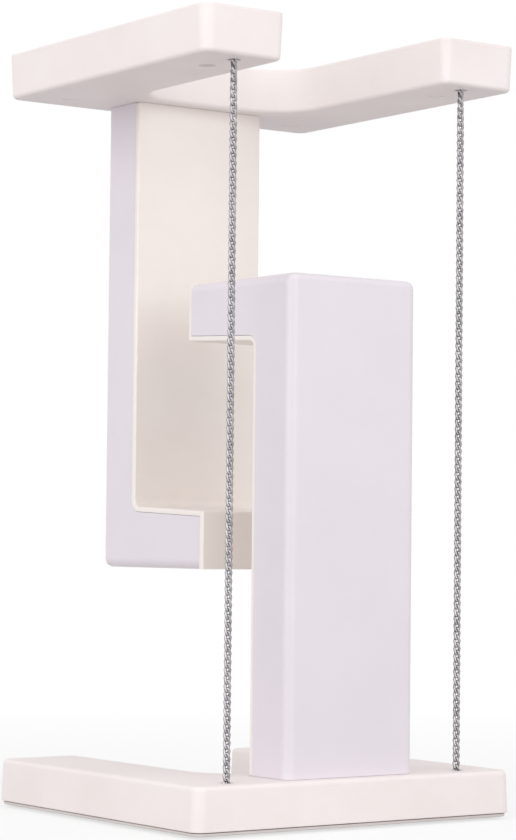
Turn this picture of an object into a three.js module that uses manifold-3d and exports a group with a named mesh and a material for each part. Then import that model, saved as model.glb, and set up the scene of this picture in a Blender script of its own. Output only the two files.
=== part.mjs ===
// Levitating lamp: two U-shaped plates and two L-shaped lamps held apart by three chains in tension.
// The lower lamp stands on the base plate, and the upper lamp hangs from the top plate. The upper half
// hangs by a short middle chain from the lower lamp's overhang, and two long chains hold its front down.
// Millimetres, +Z up, +X to the right along the front edge, +Y to the rear. The origin is on the ground,
// below the middle of the base plate.

import * as THREE from 'three';
import { mergeVertices } from 'three/addons/utils/BufferGeometryUtils.js';
import Module from 'manifold-3d';

const wasm = await Module();
wasm.setup();

// Driving dimensions

const plateWidth = 116;
const plateDepth = 111;
const plateThickness = 14;
const plateGap = 207;
const webDepth = 29.5;
const armWidth = 28.5;
const notchRadius = 16;
const cornerRadius = 4;
const tipRadius = 3;
const edgeRound = 1.4;
const plateDraft = 0.5;
const plateWall = 2;
const coverThickness = 2.4;
const coverLip = 0.9;
const coverRound = 0.4;
const baseCoverInset = 0.8;
const footProud = 0.8;

const lampWidth = 47;
const lampSetback = 5;
const lampHeight = 147;
const columnDepth = 18.7;
const armRootThickness = 19.2;
const armEndThickness = 17.6;
const lowerArmLength = 53;
const shadeWall = 1.5;
const shadeRound = 3;
const profileRound = 2;
const panelThickness = 1.6;
const panelRound = 0.7;
const innerCornerRound = 2;

const chainSideInset = 15.7;
const chainSetback = 8;
const middleChainInset = 4.5;
const linkPitchTarget = 2.32;
const linkWireRadius = 0.32;
const linkWidth = 2.2;
const linkBed = 0.08;
const ringBed = 0.12;
const ringWireRadius = 0.32;
const ringRadius = 1.4;
const chainHoleRadius = 1.9;
const pinRadius = 0.5;
const pinLength = 9;
const pinDepth = 4.8;

const screwSideInset = 15;
const screwTipSetback = 20.5;
const screwWebSetback = 14;
const screwShankRadius = 1.2;
const screwHeadRadius = 2.2;
const screwHeadHeight = 1.4;
const plugRadius = 2.4;

const seamGap = 0.3;
const seatGap = 0.15;
const cutOverrun = 1;

// Places that follow from the driving dimensions

const halfWidth = plateWidth / 2;
const halfDepth = plateDepth / 2;
const halfNotch = halfWidth - armWidth;
const notchEnd = -halfDepth + webDepth;
const baseTop = footProud + plateThickness;
const topUnderside = baseTop + plateGap;
const topFace = topUnderside + plateThickness;
const shellLow = coverLip + seamGap;
const wallUnderside = plateThickness - plateWall;
const hollowFloor = coverThickness + seamGap;
const lampFace = halfDepth - lampSetback;
const middleChainY = -lampFace + lowerArmLength - middleChainInset;
const upperArmLength = lampFace - middleChainY + middleChainInset;
const chainX = halfWidth - chainSideInset;
const chainY = halfDepth - chainSetback;
const pinZ = plateThickness - pinDepth;
const armInsideLow = halfNotch + plateWall + plateDraft;
const armInsideHigh = halfWidth - plateWall - plateDraft;
const armMiddle = (armInsideLow + armInsideHigh) / 2;
const screwX = halfWidth - screwSideInset;
const screwPlaces = [
  [-screwX, halfDepth - screwTipSetback], [screwX, halfDepth - screwTipSetback],
  [-screwX, -halfDepth + screwWebSetback], [screwX, -halfDepth + screwWebSetback],
];

// Materials

const material = (color, roughness, metalness = 0) =>
  new THREE.MeshStandardMaterial({ color, roughness, metalness });
const finish = {
  plate: () => material(0xf1ebe7, 0.35),
  cover: () => material(0xe4dfdb, 0.5),
  panel: () => material(0xf3ece6, 0.35),
  shade: () => material(0xe4dee6, 0.3),
  rubber: () => material(0x8f8f92, 0.85),
  steel: () => material(0xb9bbc0, 0.3, 1),
  darkSteel: () => material(0x6f7278, 0.4, 1),
  board: () => material(0x2f6b4a, 0.6),
  whiteBoard: () => material(0xeeeeea, 0.6),
  black: () => material(0x222224, 0.6),
  lead: () => material(0xd8d8d8, 0.6),
};

// Solids

const toSolid = (geometry) => {
  const bare = geometry.clone();
  bare.deleteAttribute('normal');
  bare.deleteAttribute('uv');
  const merged = mergeVertices(bare, 1e-4);
  return new wasm.Manifold(new wasm.Mesh({
    numProp: 3,
    vertProperties: new Float32Array(merged.attributes.position.array),
    triVerts: new Uint32Array(merged.index.array),
  }));
};

const toGeometry = (solid) => {
  const mesh = solid.getMesh();
  const geometry = new THREE.BufferGeometry();
  geometry.setAttribute('position', new THREE.BufferAttribute(new Float32Array(mesh.vertProperties), 3));
  geometry.setIndex(new THREE.BufferAttribute(new Uint32Array(mesh.triVerts), 1));
  const faceted = geometry.toNonIndexed();
  faceted.computeVertexNormals();
  return faceted;
};

const join = (solids) => solids.reduce((all, solid) => all.add(solid));
const cut = (solid, cutters) => cutters.reduce((left, cutter) => left.subtract(cutter), solid);

const root = new THREE.Group();
const addMesh = (parent, name, geometry, surface) => {
  const mesh = new THREE.Mesh(geometry, surface);
  mesh.name = name;
  parent.add(mesh);
};
const addSolid = (parent, name, solid, surface) => addMesh(parent, name, toGeometry(solid), surface);

// A closed body through rings of equal point counts, capped at both ends
const loft = (rings, place) => {
  const count = rings[0].points.length;
  const positions = [];
  const indices = [];
  for (const ring of rings) {
    for (const point of ring.points) positions.push(...place(point, ring.at));
  }
  for (let r = 0; r < rings.length - 1; r++) {
    for (let i = 0; i < count; i++) {
      const a = r * count + i;
      const b = r * count + ((i + 1) % count);
      indices.push(a, b, b + count, a, b + count, a + count);
    }
  }
  const last = (rings.length - 1) * count;
  for (const [a, b, c] of THREE.ShapeUtils.triangulateShape(rings[0].points, [])) indices.push(a, c, b);
  for (const [a, b, c] of THREE.ShapeUtils.triangulateShape(rings.at(-1).points, [])) {
    indices.push(last + a, last + b, last + c);
  }
  const geometry = new THREE.BufferGeometry();
  geometry.setAttribute('position', new THREE.Float32BufferAttribute(positions, 3));
  geometry.setIndex(indices);
  return geometry;
};

// Rings in plan stacked upwards along Z, and side profiles in Y and Z stacked along X
const upright = (point, z) => [point.x, point.y, z];
const sideways = (point, x) => [x, point.x, point.y];

const box = (width, depth, height, x, y, z) => {
  const geometry = new THREE.BoxGeometry(width, depth, height);
  geometry.translate(x, y, z);
  return geometry;
};

// A cylinder standing along Z between two heights
const post = (radius, low, high, x, y, sides = 16) => {
  const geometry = new THREE.CylinderGeometry(radius, radius, high - low, sides);
  geometry.rotateX(Math.PI / 2);
  geometry.translate(x, y, (low + high) / 2);
  return geometry;
};

// A cylinder lying along Y between two places
const rod = (radius, from, to, x, z, sides = 16) => {
  const geometry = new THREE.CylinderGeometry(radius, radius, to - from, sides);
  geometry.translate(x, (from + to) / 2, z);
  return geometry;
};

// A turned body whose profile starts and ends on its axis, standing along Z
const turned = (profile, x, y, z, sides) => {
  const geometry = new THREE.LatheGeometry(profile.map(([r, h]) => new THREE.Vector2(r, h)), sides);
  geometry.rotateX(Math.PI / 2);
  geometry.translate(x, y, z);
  return geometry;
};

const arc = (cx, cy, radius, from, to, steps) => {
  const points = [];
  for (let i = 0; i <= steps; i++) {
    const angle = THREE.MathUtils.degToRad(from + ((to - from) * i) / steps);
    points.push(new THREE.Vector2(cx + radius * Math.cos(angle), cy + radius * Math.sin(angle)));
  }
  return points;
};

// An edge round, from its start on the side to its end on the face: how far in each ring lies, and how
// far below the face
const roundSteps = (radius, steps) => {
  const rings = [];
  for (let i = 0; i <= steps; i++) {
    const angle = (Math.PI / 2) * (i / steps);
    rings.push({ inset: radius * (1 - Math.cos(angle)), below: radius * (1 - Math.sin(angle)) });
  }
  return rings;
};

// Plates. A plate lies cover down and main face up, with its notch open towards +Y.

const plateOutline = (inset) => {
  const w = halfWidth - inset;
  const d = halfDepth - inset;
  const n = halfNotch + inset;
  const end = notchEnd - inset;
  const outer = Math.max(cornerRadius - inset, coverRound);
  const tip = Math.max(tipRadius - inset, coverRound);
  const inner = notchRadius + inset;
  return [
    ...arc(-w + outer, -d + outer, outer, 180, 270, 2),
    ...arc(w - outer, -d + outer, outer, 270, 360, 2),
    ...arc(w - outer, d - outer, outer, 0, 90, 2),
    ...arc(n + tip, d - tip, tip, 90, 180, 2),
    ...arc(n - inner, end + inner, inner, 0, -90, 5),
    ...arc(-n + inner, end + inner, inner, -90, -180, 5),
    ...arc(-n - tip, d - tip, tip, 0, 90, 2),
    ...arc(-w + outer, d - outer, outer, 90, 180, 2),
  ];
};

const plateShell = () => {
  const rings = [{ points: plateOutline(0), at: shellLow }];
  for (const { inset, below } of roundSteps(edgeRound, 2)) {
    rings.push({ points: plateOutline(plateDraft + inset), at: plateThickness - below });
  }
  const hollow = [
    { points: plateOutline(plateWall), at: shellLow - cutOverrun },
    { points: plateOutline(plateWall + plateDraft), at: wallUnderside },
  ];
  return toSolid(loft(rings, upright)).subtract(toSolid(loft(hollow, upright)));
};

// A cover has a lip that closes the shell's edge and a plug that locates inside the shell's walls
const plateCover = (lipInset) => {
  const rings = roundSteps(coverRound, 1).reverse().map(({ inset, below }) =>
    ({ points: plateOutline(lipInset + inset), at: below }));
  rings.push({ points: plateOutline(lipInset), at: coverLip });
  rings.push({ points: plateOutline(plateWall + seamGap), at: coverLip });
  rings.push({ points: plateOutline(plateWall + seamGap), at: coverThickness });
  return toSolid(loft(rings, upright));
};

// A cross pin holds a chain's end ring behind a wall. The chain pulls the pin into slots of two ribs on
// the wall, and leaves through a round hole between them.
const ribGap = 2.6;
const ribThickness = 1.2;
const ribWidth = 4;
const ribDrop = 1;

const pinRibs = (x, y, wall, pin) => [-1, 1].map((side) => {
  const ribX = x + side * (ribGap + ribThickness / 2);
  const wards = Math.sign(wall - pin);
  const far = pin - wards * (pinRadius + ribDrop);
  const rib = toSolid(box(ribThickness, ribWidth, Math.abs(wall - far), ribX, y, (wall + far) / 2));
  const slotEnd = pin + wards * (pinRadius + seamGap);
  const slotStart = far - wards * cutOverrun;
  return rib.subtract(toSolid(box(ribThickness + cutOverrun, 2 * (pinRadius + seamGap),
    Math.abs(slotEnd - slotStart), ribX, y, (slotEnd + slotStart) / 2)));
});

const crossPin = (x, y, z) => {
  const geometry = new THREE.CylinderGeometry(pinRadius, pinRadius, pinLength, 6);
  geometry.rotateZ(Math.PI / 2);
  geometry.translate(x, y, z);
  return geometry;
};

const throughHole = (radius, x, y, low, high, sides) =>
  toSolid(post(radius, low - cutOverrun, high + cutOverrun, x, y, sides));

const screwProfile = (shankLength) => [
  [0, -shankLength], [screwShankRadius, -shankLength], [screwShankRadius, 0], [screwHeadRadius, 0],
  [screwHeadRadius, screwHeadHeight], [0, screwHeadHeight],
];

// A screw whose head's seat is at z, with its shank below the head, or above it when turned over
const screw = (shankLength, x, y, z, turnedOver = false) => {
  const geometry = turned(screwProfile(shankLength), 0, 0, 0, 7);
  if (turnedOver) geometry.rotateX(Math.PI);
  geometry.translate(x, y, z);
  return geometry;
};

// A lamp is fixed by two screws from inside its plate, and its leads pass between them
const lampScrewSpread = 28;
const lampScrewSetback = 9;
const lampScrewLength = 9;
const leadHoleRadius = 2.8;
const lampScrewY = -lampFace + lampScrewSetback;
const lampScrewXs = [-lampScrewSpread / 2, lampScrewSpread / 2];

const lampFixingHoles = () => [
  ...lampScrewXs.map((x) =>
    throughHole(screwShankRadius + seatGap, x, lampScrewY, wallUnderside, plateThickness, 8)),
  throughHole(leadHoleRadius, 0, lampScrewY, wallUnderside, plateThickness, 10),
];

const addLampScrews = (plate, name) => lampScrewXs.forEach((x, i) => {
  addMesh(plate, `${name}_screw_${i + 1}`, screw(lampScrewLength, x, lampScrewY, wallUnderside - seamGap, true),
    finish.darkSteel());
});

const addChainPins = (plate, name, y) => [-1, 1].forEach((side) => {
  addMesh(plate, `${side < 0 ? 'left' : 'right'}_${name}_pin`, crossPin(side * chainX, y, pinZ),
    finish.steel());
});

// Leads: thin round cables on routes chosen by hand
const leadRadius = 0.6;
const lead = (route, steps) => {
  const section = new THREE.Shape(arc(0, 0, leadRadius, 0, 288, 4));
  const path = new THREE.CatmullRomCurve3(route.map(([x, y, z]) => new THREE.Vector3(x, y, z)));
  return new THREE.ExtrudeGeometry(section, { steps, bevelEnabled: false, extrudePath: path });
};

// Lamps. A lamp stands on its fixing end with its outer face at y = 0, and its arm reaches towards +Y at
// its top. Its opaque panel makes the inner faces and the arm's end. Its translucent shade makes the
// outer faces and both sides.

const halfLamp = lampWidth / 2;
const bodyHeight = lampHeight - seamGap;
const armFace = bodyHeight - armEndThickness;
const lampPinZ = armFace + pinDepth;
const lipDepth = 3;
const lipThickness = 1.2;
const flangeThickness = 2.6;
const lampBossRadius = 3;
const lampBossHeight = 9;
const ledBoardLow = 14;
const ledBoardWidth = 10;
const ledBoardThickness = 1;
const ledBoardY = columnDepth - panelThickness - seamGap - ledBoardThickness / 2;
const ledCount = 7;
const ledSize = 3.5;
const ledHeight = 0.9;

const shadeProfile = (armLength, inset) => {
  const end = armLength - panelThickness - seamGap;
  const back = columnDepth - panelThickness - seamGap;
  const backing = panelThickness + seamGap;
  const top = bodyHeight - inset;
  return [
    new THREE.Vector2(inset, 0),
    new THREE.Vector2(back, 0),
    new THREE.Vector2(back, bodyHeight - armRootThickness + backing),
    new THREE.Vector2(end, armFace + backing),
    new THREE.Vector2(end, top),
    ...arc(inset + profileRound, top - profileRound, profileRound, 90, 180, 3),
  ];
};

const cavityProfile = (armLength) => {
  const high = bodyHeight - shadeWall;
  return [
    new THREE.Vector2(shadeWall, -cutOverrun),
    new THREE.Vector2(columnDepth, -cutOverrun),
    new THREE.Vector2(columnDepth, bodyHeight - armRootThickness),
    new THREE.Vector2(armLength, armFace),
    new THREE.Vector2(armLength, high),
    ...arc(shadeWall + profileRound, high - profileRound, profileRound, 90, 180, 2),
  ];
};

// The panel's section follows the column's inner face, the arm's inner face and the arm's end. The
// inset sinks the faces that show.
const panelProfile = (armLength, inset, thickness) => {
  const slope = (armRootThickness - armEndThickness) / (armLength - columnDepth);
  const armAt = (y, depth) => bodyHeight - armRootThickness + slope * (y - columnDepth) + depth;
  const face = columnDepth - inset;
  const end = armLength - inset;
  const filletY = face + innerCornerRound;
  return [
    new THREE.Vector2(columnDepth - thickness, 0),
    new THREE.Vector2(face, 0),
    ...arc(filletY, armAt(filletY, inset) - innerCornerRound, innerCornerRound, 180, 90, 3),
    new THREE.Vector2(end, armAt(end, inset)),
    new THREE.Vector2(end, bodyHeight),
    new THREE.Vector2(armLength - thickness, bodyHeight),
    new THREE.Vector2(armLength - thickness, armAt(armLength - thickness, thickness)),
    new THREE.Vector2(columnDepth - thickness, armAt(columnDepth - thickness, thickness)),
  ];
};

// Rings across the lamp's width, with both rims rounded
const acrossLamp = (profileAt, radius, steps) => [
  ...roundSteps(radius, steps).reverse().map(({ inset, below }) =>
    ({ points: profileAt(inset), at: -halfLamp + below })),
  ...roundSteps(radius, steps).map(({ inset, below }) =>
    ({ points: profileAt(inset), at: halfLamp - below })),
];

const makeShade = (armLength) => {
  const outside = loft(acrossLamp((inset) => shadeProfile(armLength, inset), shadeRound, 3), sideways);
  const cavity = [-1, 1].map((side) =>
    ({ points: cavityProfile(armLength), at: side * (halfLamp - shadeWall) }));
  return toSolid(outside).subtract(toSolid(loft(cavity, sideways)));
};

// Lips along the panel locate inside the shade's side walls
const makePanelLips = (armLength) => {
  const outside = halfLamp - shadeWall - seamGap;
  const profile = panelProfile(armLength, panelThickness / 2, panelThickness + lipDepth);
  const body = toSolid(loft([-1, 1].map((side) => ({ points: profile, at: side * outside })), sideways));
  const clearHeight = shadeWall + seamGap;
  return cut(body, [
    toSolid(box(2 * (outside - lipThickness), 4 * armLength, 4 * bodyHeight, 0, 0, 0)),
    toSolid(box(lampWidth, 4 * armLength, clearHeight + cutOverrun, 0, 0,
      bodyHeight - clearHeight / 2 + cutOverrun / 2)),
  ]);
};

const makePanel = (armLength) => {
  const chainHoleY = armLength - middleChainInset;
  const flangeFront = shadeWall + seamGap;
  const flangeRear = columnDepth - panelThickness / 2;
  const flangeWidth = 2 * (halfLamp - shadeWall - seamGap);
  const body = join([
    toSolid(loft(acrossLamp((inset) => panelProfile(armLength, inset, panelThickness), panelRound, 2),
      sideways)),
    makePanelLips(armLength),
    toSolid(box(flangeWidth, flangeRear - flangeFront, flangeThickness, 0, (flangeRear + flangeFront) / 2,
      flangeThickness / 2)),
    ...lampScrewXs.map((x) =>
      toSolid(post(lampBossRadius, flangeThickness / 2, lampBossHeight, x, lampScrewSetback, 8))),
    ...pinRibs(0, chainHoleY, armFace + panelThickness / 2, lampPinZ),
  ]);
  return cut(body, [
    ...lampScrewXs.map((x) =>
      throughHole(screwShankRadius + seatGap, x, lampScrewSetback, 0, lampBossHeight, 8)),
    throughHole(leadHoleRadius, 0, lampScrewSetback, 0, flangeThickness, 10),
    throughHole(chainHoleRadius, 0, chainHoleY, armFace - panelThickness, armFace + panelThickness, 12),
  ]);
};

const makeLedBoard = () => {
  const high = bodyHeight - armRootThickness;
  const pitch = (high - ledBoardLow) / ledCount;
  const board = box(ledBoardWidth, ledBoardThickness, high - ledBoardLow, 0, ledBoardY,
    (high + ledBoardLow) / 2);
  const leds = [];
  for (let i = 0; i < ledCount; i++) {
    leds.push(toSolid(box(ledSize, ledHeight + ledBoardThickness / 2, ledSize, 0,
      ledBoardY - (ledHeight + ledBoardThickness / 2) / 2, ledBoardLow + (i + 0.5) * pitch)));
  }
  return join([toSolid(board), ...leds]);
};

const addLamp = (parent, name, armLength) => {
  addSolid(parent, `${name}_shade`, makeShade(armLength), finish.shade());
  addSolid(parent, `${name}_panel`, makePanel(armLength), finish.panel());
  addSolid(parent, `${name}_led_board`, makeLedBoard(), finish.whiteBoard());
  addMesh(parent, `${name}_chain_pin`, crossPin(0, armLength - middleChainInset, lampPinZ), finish.steel());
};

const lowerLamp = new THREE.Group();
lowerLamp.position.set(0, -lampFace, baseTop + seamGap);
root.add(lowerLamp);
addLamp(lowerLamp, 'lower_lamp', lowerArmLength);

const upperLamp = new THREE.Group();
upperLamp.rotation.x = Math.PI;
upperLamp.position.set(0, lampFace, topUnderside - seamGap);
root.add(upperLamp);
addLamp(upperLamp, 'upper_lamp', upperArmLength);

// Base plate: closed by a cover that four screws hold from below, behind the four feet

const base = new THREE.Group();
base.position.z = footProud;
root.add(base);

const bossRadius = 3.6;
const footRadius = 4.6;
const footRecess = 0.5;
const coverPadRadius = 4.2;
const coverPadHigh = 3.2;
const baseScrewLength = 7;
const baseScrewSeat = footRecess + seatGap + screwHeadHeight;

const portSpacing = 9.4;
const portRise = 0.6;
const buttonRadius = 3;
const buttonProud = 0.8;
const buttonFlange = 0.8;
const flangeRadius = 3.8;
const stemRadius = 1.1;
const stemEntry = 0.5;
const buttonTravel = 0.6;
const switchWidth = 6.2;
const switchDepth = 4;
const switchBoreDepth = 2.6;
const socketWidth = 8.9;
const socketHeight = 3.2;
const socketLength = 7.4;
const socketWall = 0.35;
const tongueWidth = 6.2;
const tongueHeight = 0.7;
const tongueRecess = 0.8;
const boardThickness = 1.2;
const boardClearance = 0.75;
const boardLength = 11.8;
const boardPostRadius = 1.5;
const boardPostInset = 2.4;

const buttonX = armMiddle + portSpacing / 2;
const socketX = armMiddle - portSpacing / 2;
const portZ = plateThickness / 2 + portRise;
const rearWallInside = halfDepth - plateWall - plateDraft;
const flangeRear = rearWallInside - seamGap;
const flangeFront = flangeRear - buttonFlange;
const switchFront = flangeFront - buttonTravel - seamGap;
const capFace = halfDepth + buttonProud;
const boardWidth = armInsideHigh - armInsideLow - 2 * boardClearance;
const boardX = armMiddle;
const boardTop = portZ - socketHeight / 2 - seatGap;
const boardRear = switchFront;
const boardFront = boardRear - boardLength;
const boardMiddle = boardTop - boardThickness / 2;

// A rounded slot along Y, as the charging socket and its opening have
const stadium = (width, height, from, to, x, z) => {
  const r = height / 2;
  const points = [...arc(width / 2 - r, 0, r, -90, 90, 4), ...arc(-width / 2 + r, 0, r, 90, 270, 4)];
  return loft([{ points, at: to }, { points, at: from }], (point, y) => [x + point.x, y, z + point.y]);
};

const baseShell = cut(
  join([
    plateShell(),
    ...screwPlaces.map(([x, y]) =>
      toSolid(post(bossRadius, coverPadHigh + seamGap, wallUnderside + seamGap, x, y, 8))),
    ...[-chainX, chainX].flatMap((x) => pinRibs(x, -chainY, wallUnderside + seamGap, pinZ)),
  ]),
  [
    ...screwPlaces.map(([x, y]) =>
      toSolid(post(screwShankRadius + seatGap, hollowFloor, wallUnderside - cutOverrun, x, y, 7))),
    ...[-chainX, chainX].map((x) =>
      throughHole(chainHoleRadius, x, -chainY, wallUnderside, plateThickness, 12)),
    ...lampFixingHoles(),
    toSolid(rod(buttonRadius + seamGap, rearWallInside - cutOverrun, halfDepth + cutOverrun,
      buttonX, portZ, 16)),
    toSolid(stadium(socketWidth + 2 * seamGap, socketHeight + 2 * seamGap, rearWallInside - cutOverrun,
      halfDepth + cutOverrun, socketX, portZ)),
  ],
);
addSolid(base, 'base_shell', baseShell, finish.plate());

const boardPostTop = boardTop - boardThickness - seamGap;
const boardPosts = [-1, 1].map((side) => toSolid(post(boardPostRadius, coverLip, boardPostTop,
  boardX + side * (boardWidth / 2 - boardPostInset), boardFront + boardPostInset, 8)));
const baseCover = cut(
  join([
    plateCover(baseCoverInset),
    ...screwPlaces.map(([x, y]) => toSolid(post(coverPadRadius, coverLip, coverPadHigh, x, y, 8))),
    ...boardPosts,
  ]),
  screwPlaces.flatMap(([x, y]) => [
    toSolid(post(footRadius + seatGap, -cutOverrun, footRecess, x, y, 12)),
    toSolid(post(screwHeadRadius + seamGap, 0, baseScrewSeat + seatGap, x, y, 8)),
    throughHole(screwShankRadius + seamGap, x, y, 0, coverPadHigh, 7),
  ]),
);
addSolid(base, 'base_cover', baseCover, finish.cover());

screwPlaces.forEach(([x, y], i) => {
  addMesh(base, `base_cover_screw_${i + 1}`, screw(baseScrewLength, x, y, baseScrewSeat, true),
    finish.darkSteel());
  addMesh(base, `base_foot_${i + 1}`, turned([
    [0, -footProud], [footRadius - footProud / 2, -footProud], [footRadius, -footProud / 2],
    [footRadius, footRecess - seatGap], [0, footRecess - seatGap],
  ], x, y, 0, 12), finish.rubber());
});

// A steel ballast plate in the web keeps the lamp from tipping
const ballastScrewGap = 10;
const ballastWidth = 2 * (screwX - ballastScrewGap);
const ballastDepth = 21;
const ballastHeight = 5;
const ballastChamfer = 3;
const ballastRing = () => {
  const w = ballastWidth / 2;
  const d = ballastDepth / 2;
  const c = ballastChamfer;
  const y = (-halfDepth + notchEnd) / 2;
  return [[-w + c, -d], [w - c, -d], [w, -d + c], [w, d - c],
    [w - c, d], [-w + c, d], [-w, d - c], [-w, -d + c]]
    .map(([px, py]) => new THREE.Vector2(px, y + py));
};
addMesh(base, 'base_ballast', loft([
  { points: ballastRing(), at: hollowFloor },
  { points: ballastRing(), at: hollowFloor + ballastHeight },
], upright), finish.darkSteel());

addChainPins(base, 'base', -chainY);
addLampScrews(base, 'lower_lamp');

// Charging socket, push button and control board in the right arm's rear end

addMesh(base, 'control_board', box(boardWidth, boardLength, boardThickness, boardX, (boardRear + boardFront) / 2,
  boardMiddle), finish.board());

const socketMouth = halfDepth - plateDraft;
const socketBack = socketMouth - socketLength;
const socketFloor = socketBack + 2 * socketWall;
addSolid(base, 'charging_socket', cut(
  toSolid(stadium(socketWidth, socketHeight, socketBack, socketMouth, socketX, portZ)),
  [toSolid(stadium(socketWidth - 2 * socketWall, socketHeight - 2 * socketWall, socketFloor,
    socketMouth + cutOverrun, socketX, portZ))],
), finish.steel());
const tongueStart = socketFloor + seatGap;
const tongueEnd = socketMouth - tongueRecess;
addMesh(base, 'socket_tongue', box(tongueWidth, tongueEnd - tongueStart, tongueHeight, socketX,
  (tongueStart + tongueEnd) / 2, portZ), finish.black());

const switchHeight = 2 * (portZ - boardTop - seatGap);
addSolid(base, 'push_switch', cut(
  toSolid(box(switchWidth, switchDepth, switchHeight, buttonX, switchFront - switchDepth / 2, portZ)),
  [toSolid(rod(stemRadius + seamGap, switchFront - switchBoreDepth, switchFront + cutOverrun,
    buttonX, portZ, 10))],
), finish.black());

const button = new THREE.LatheGeometry([
  [0, switchFront - stemEntry], [stemRadius, switchFront - stemEntry], [stemRadius, flangeFront],
  [flangeRadius, flangeFront], [flangeRadius, flangeRear], [buttonRadius, flangeRear],
  [buttonRadius, capFace - buttonProud / 4], [buttonRadius - buttonProud / 2, capFace], [0, capFace],
].map(([r, h]) => new THREE.Vector2(r, h)), 16);
button.translate(buttonX, 0, portZ);
addMesh(base, 'power_button', button, finish.panel());

const ledLeadEnd = plateThickness + ledBoardLow;
const ledLeadY = -lampFace + ledBoardY;
const riseToLeds = (x) => [
  [x, lampScrewY, wallUnderside], [x, lampScrewY, plateThickness + 4],
  [x, lampScrewY + 4.5, plateThickness + 9],
  [x, ledLeadY, plateThickness + 12], [x, ledLeadY, ledLeadEnd],
];
const armInsideWidth = armInsideHigh - armInsideLow;
const innerLaneShare = 0.042;
const secondLaneShare = 0.122;
const alongArm = (x) => [[x, boardFront - seatGap, boardMiddle], [x, boardFront - 9, 5.6], [x, 0, 5.6]];
addMesh(base, 'lower_lamp_lead', lead([
  ...alongArm(armInsideLow + armInsideWidth * innerLaneShare),
  [armInsideLow + 1.6, notchEnd + 12, 6.5], [halfNotch - 3.5, notchEnd, 9],
  [14, notchEnd - 5, 9.4], [4, notchEnd - 10, 10], ...riseToLeds(0),
], 20), finish.lead());
addMesh(base, 'left_chain_lead', lead([
  ...alongArm(armInsideLow + armInsideWidth * secondLaneShare),
  [armMiddle - 6.75, notchEnd + 4, 6.4], [chainX - 9.8, -chainY + 11.5, 8.7],
  [chainX - 20.3, -chainY + 0.5, 9], [0, -chainY - 1.1, 9], [-22, -chainY - 1.1, 9],
  [-chainX + 10.3, -chainY - 0.9, 9.1], [-chainX + pinLength / 2 + seatGap, -chainY, pinZ],
], 20), finish.lead());
addMesh(base, 'right_chain_lead', lead([
  ...alongArm(armInsideHigh - 6), [armInsideHigh - 6.7, notchEnd - 4, 6], [armInsideHigh - 5.3, -chainY + 6.5, 8],
  [armInsideHigh - 5.5, -chainY + 0.9, 9.2], [chainX + pinLength / 2 + seatGap, -chainY, pinZ],
], 15), finish.lead());

// Top plate: the base's shell turned over, closed by a lid whose screws go in from below under plugs

const top = new THREE.Group();
top.rotation.x = Math.PI;
top.position.z = topFace;
root.add(top);

const topBossLow = 6;
const topScrewSeat = 8;
const topScrewLength = 4.6;
const lidBossRadius = 3.2;
const plugThickness = 1.3;
const plugRecess = 0.4;

const topShell = cut(
  join([
    plateShell(),
    ...screwPlaces.map(([x, y]) => toSolid(post(bossRadius, topBossLow, wallUnderside + seamGap, x, y, 8))),
    ...[-chainX, chainX].flatMap((x) => pinRibs(x, chainY, wallUnderside + seamGap, pinZ)),
  ]),
  [
    ...screwPlaces.map(([x, y]) => toSolid(post(plugRadius + seatGap, topScrewSeat, plateThickness + cutOverrun,
      x, y, 12))),
    ...screwPlaces.map(([x, y]) => throughHole(screwShankRadius + seamGap, x, y, topBossLow, topScrewSeat, 7)),
    ...[-chainX, chainX].map((x) => throughHole(chainHoleRadius, x, chainY, wallUnderside, plateThickness, 12)),
    ...lampFixingHoles(),
  ],
);
addSolid(top, 'top_shell', topShell, finish.plate());

const lidBossHigh = topBossLow - seamGap;
const topLid = cut(
  join([
    plateCover(0),
    ...screwPlaces.map(([x, y]) => toSolid(post(lidBossRadius, coverLip, lidBossHigh, x, y, 8))),
  ]),
  screwPlaces.map(([x, y]) => toSolid(post(screwShankRadius + seatGap, coverThickness, lidBossHigh + cutOverrun,
    x, y, 7))),
);
addSolid(top, 'top_lid', topLid, finish.plate());

screwPlaces.forEach(([x, y], i) => {
  addMesh(top, `top_lid_screw_${i + 1}`, screw(topScrewLength, x, y, topScrewSeat + seatGap),
    finish.darkSteel());
  addMesh(top, `top_screw_plug_${i + 1}`, post(plugRadius, plateThickness - plugRecess - plugThickness,
    plateThickness - plugRecess, x, y, 12), finish.cover());
});
addChainPins(top, 'top', chainY);
addLampScrews(top, 'upper_lamp');

const topLeadRoute = (side) => [
  [side * (chainX - pinLength / 2 - seatGap), chainY, pinZ], [side * (chainX - 7.3), chainY - 0.9, 9],
  [side * (armInsideLow + 1.6), chainY - 9.5, 7.4], [side * (armInsideLow + 1.6), 0, 6.4],
  [side * (armInsideLow + 1.4), notchEnd + 12, 6.8], [side * (halfNotch - 4.5), notchEnd - 1, 8.6],
  [side * 12, notchEnd - 7.5, 9.6], [side * 4, notchEnd - 12, 10], ...riseToLeds(side * 0.9),
];
addMesh(top, 'upper_lamp_lead_left', lead(topLeadRoute(-1), 20), finish.lead());
addMesh(top, 'upper_lamp_lead_right', lead(topLeadRoute(1), 20), finish.lead());

// Chains of curb links. A link is an oval of round wire, twisted a quarter turn from end to end, so that
// its end bow seats square across the next link's. A ring at each end of a chain holds a cross pin.

const linkSteps = 6;
const ringSteps = 8;
const wireSides = 3;

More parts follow.
